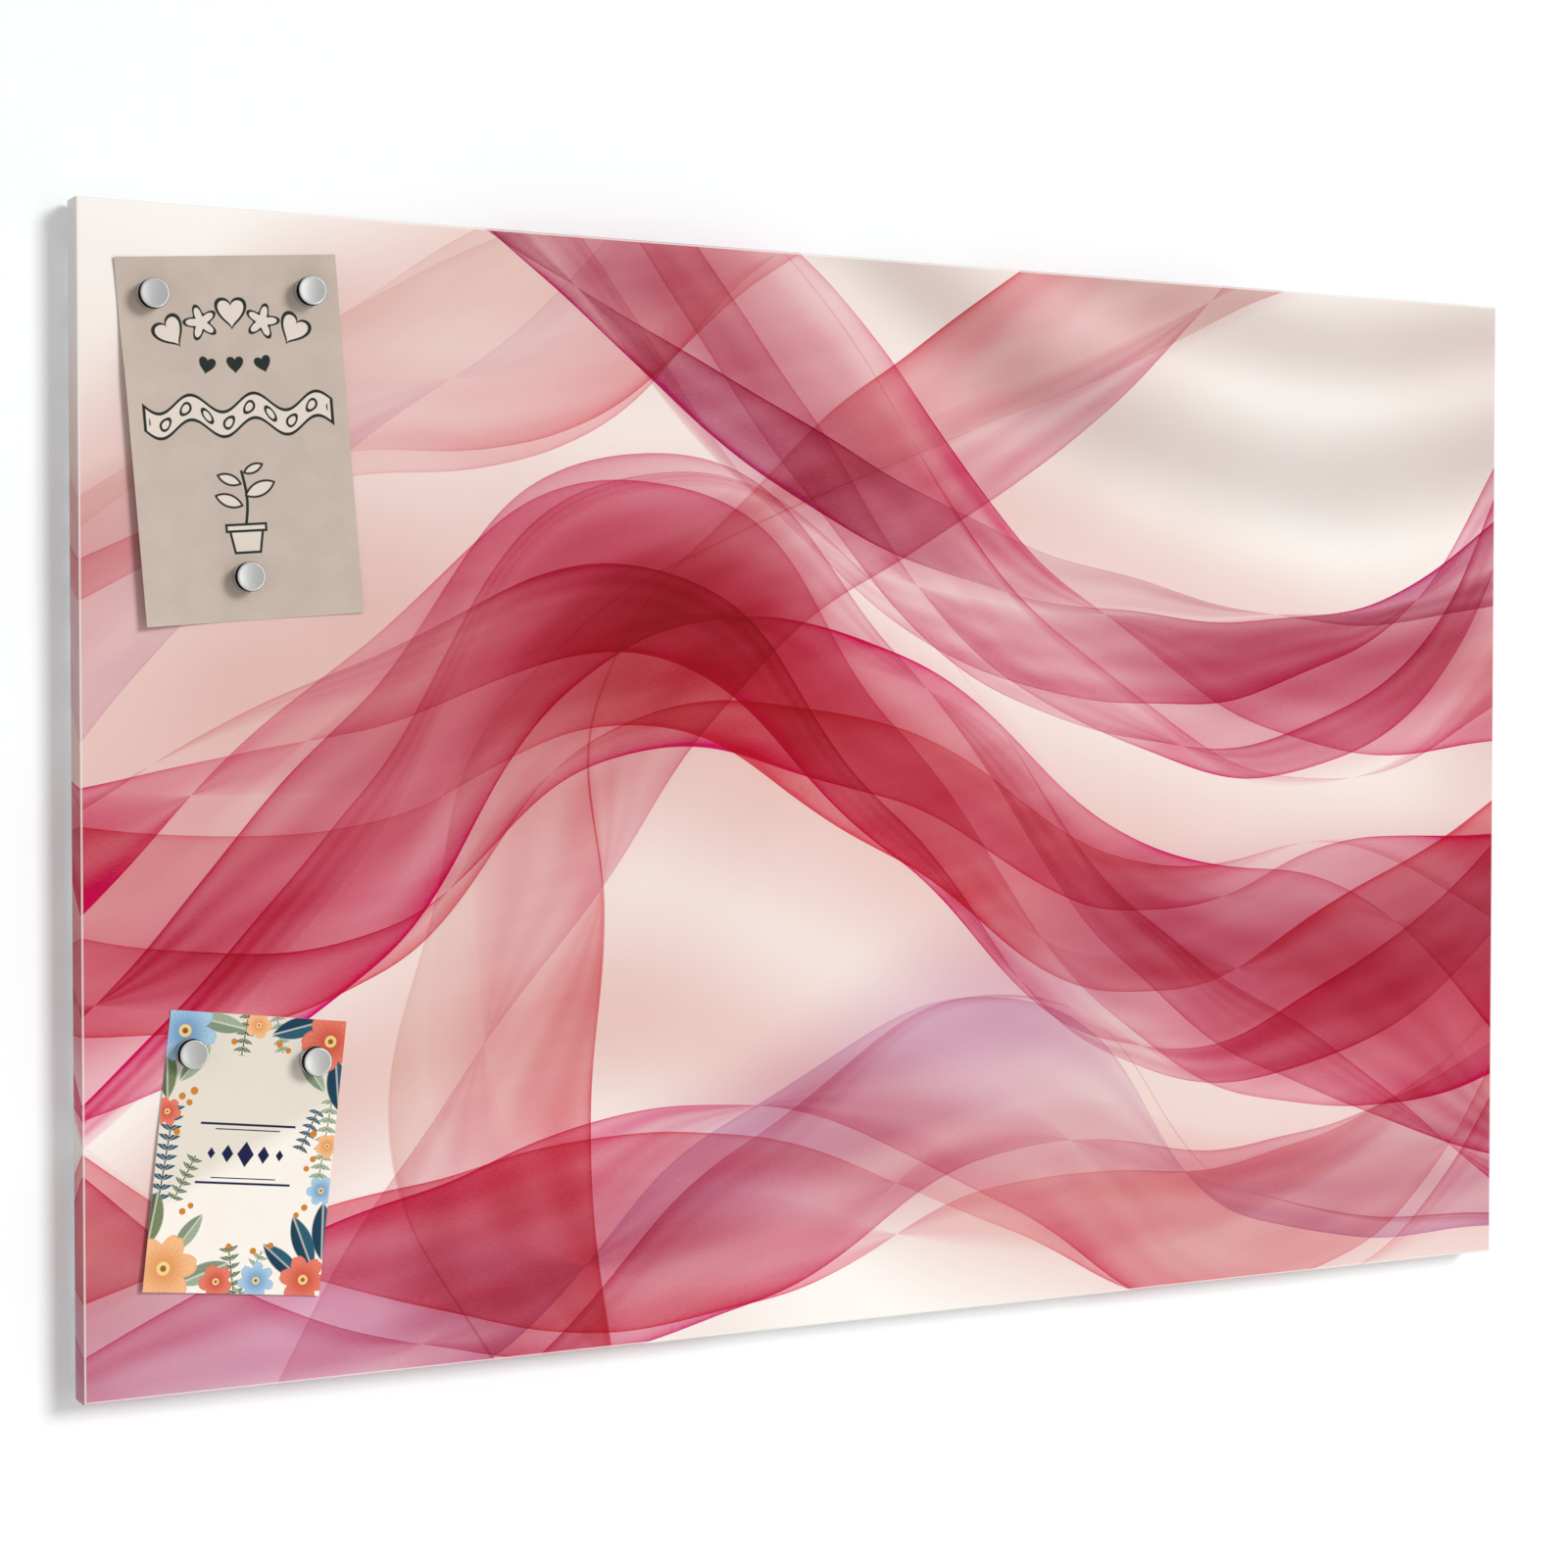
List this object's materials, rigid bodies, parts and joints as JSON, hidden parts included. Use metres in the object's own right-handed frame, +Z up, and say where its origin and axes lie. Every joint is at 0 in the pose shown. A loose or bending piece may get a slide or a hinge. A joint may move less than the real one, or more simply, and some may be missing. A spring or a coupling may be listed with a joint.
{
  "type": "magnetic board",
  "caption": "Frameless magnetic memo board: a printed, folded steel tray that hangs on a wall by keyhole plates, with a note and a card held on its front by disc magnets.",
  "frame": {"origin": "on the wall plane, midway between the two screws that the keyhole plates hang on", "axes": "+X right and +Z up as seen from the front, +Y back into the wall; the printed front faces -Y"},
  "size_m": [0.9, 0.0305, 0.6],
  "materials": {
    "print": "satin printed film",
    "galvanised_steel": "galvanised sheet",
    "foam_tape": "matt acrylic foam",
    "plated_steel": "zinc plated",
    "rivet_alloy": "plain",
    "bumper_rubber": "matt",
    "note_paper": "uncoated",
    "card_paper": "uncoated, printed",
    "nickel": "satin nickel plate on turned steel",
    "magnet_alloy": "plated neodymium disc"
  },
  "bodies": {
    "board": {"printed_film": "print", "steel_tray": "galvanised_steel", "stiffener_left": "galvanised_steel", "stiffener_right": "galvanised_steel", "tape_left_outer": "foam_tape", "tape_left_inner": "foam_tape", "tape_right_outer": "foam_tape", "tape_right_inner": "foam_tape", "hanger_left": "plated_steel", "hanger_right": "plated_steel", "rivet_left_outer": "rivet_alloy", "rivet_left_inner": "rivet_alloy", "rivet_right_outer": "rivet_alloy", "rivet_right_inner": "rivet_alloy", "bumper_top_left": "bumper_rubber", "bumper_top_right": "bumper_rubber", "bumper_bottom_left": "bumper_rubber", "bumper_bottom_right": "bumper_rubber"},
    "note": {"note_sheet": "note_paper"},
    "card": {"card_sheet": "card_paper"},
    "note_magnet_left": {"note_magnet_left_body": "nickel", "note_magnet_left_core": "magnet_alloy"},
    "note_magnet_right": {"note_magnet_right_body": "nickel", "note_magnet_right_core": "magnet_alloy"},
    "note_magnet_lower": {"note_magnet_lower_body": "nickel", "note_magnet_lower_core": "magnet_alloy"},
    "card_magnet_left": {"card_magnet_left_body": "nickel", "card_magnet_left_core": "magnet_alloy"},
    "card_magnet_right": {"card_magnet_right_body": "nickel", "card_magnet_right_core": "magnet_alloy"}
  },
  "joints": [
    {"name": "note_slide", "type": "slide", "parent": "board", "child": "note", "axis": [1, 0, 0], "range_m": [-0.015, 0.74]},
    {"name": "card_slide", "type": "slide", "parent": "board", "child": "card", "axis": [1, 0, 0], "range_m": [-0.025, 0.74]},
    {"name": "note_magnet_left_pull", "type": "slide", "parent": "note", "child": "note_magnet_left", "axis": [0, -1, 0], "range_m": [0, 0.03]},
    {"name": "note_magnet_right_pull", "type": "slide", "parent": "note", "child": "note_magnet_right", "axis": [0, -1, 0], "range_m": [0, 0.03]},
    {"name": "note_magnet_lower_pull", "type": "slide", "parent": "note", "child": "note_magnet_lower", "axis": [0, -1, 0], "range_m": [0, 0.03]},
    {"name": "card_magnet_left_pull", "type": "slide", "parent": "card", "child": "card_magnet_left", "axis": [0, -1, 0], "range_m": [0, 0.03]},
    {"name": "card_magnet_right_pull", "type": "slide", "parent": "card", "child": "card_magnet_right", "axis": [0, -1, 0], "range_m": [0, 0.03]}
  ]
}
